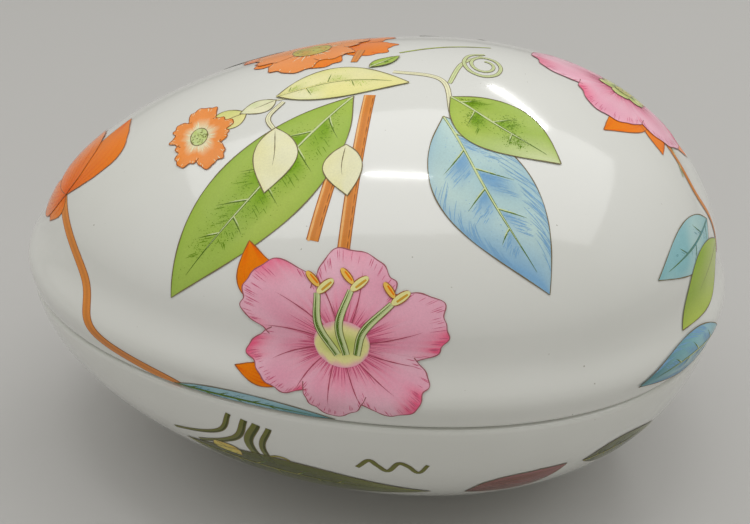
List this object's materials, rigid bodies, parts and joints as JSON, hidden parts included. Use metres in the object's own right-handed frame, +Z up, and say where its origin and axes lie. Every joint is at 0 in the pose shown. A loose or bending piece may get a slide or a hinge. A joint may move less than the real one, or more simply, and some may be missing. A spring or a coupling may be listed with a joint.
{
  "type": "egg-shaped trinket box",
  "caption": "Egg-shaped porcelain trinket box lying on its side, with a lift-off domed lid, a flared lip, a locating flange and an oval foot ring.",
  "frame": {"origin": "centre of the box's outline, on the plane the foot ring stands on", "axes": "+X towards the blunt end of the egg, +Y across, +Z up through the lid"},
  "size_m": [0.1763, 0.1312, 0.1087],
  "materials": {
    "porcelain": "gloss"
  },
  "bodies": {
    "base": {"base": "porcelain"},
    "lid": {"lid": "porcelain"}
  },
  "joints": [
    {"name": "lid_lift", "type": "slide", "parent": "base", "child": "lid", "axis": [0, 0, 1], "range_m": [0, 0.1]}
  ]
}
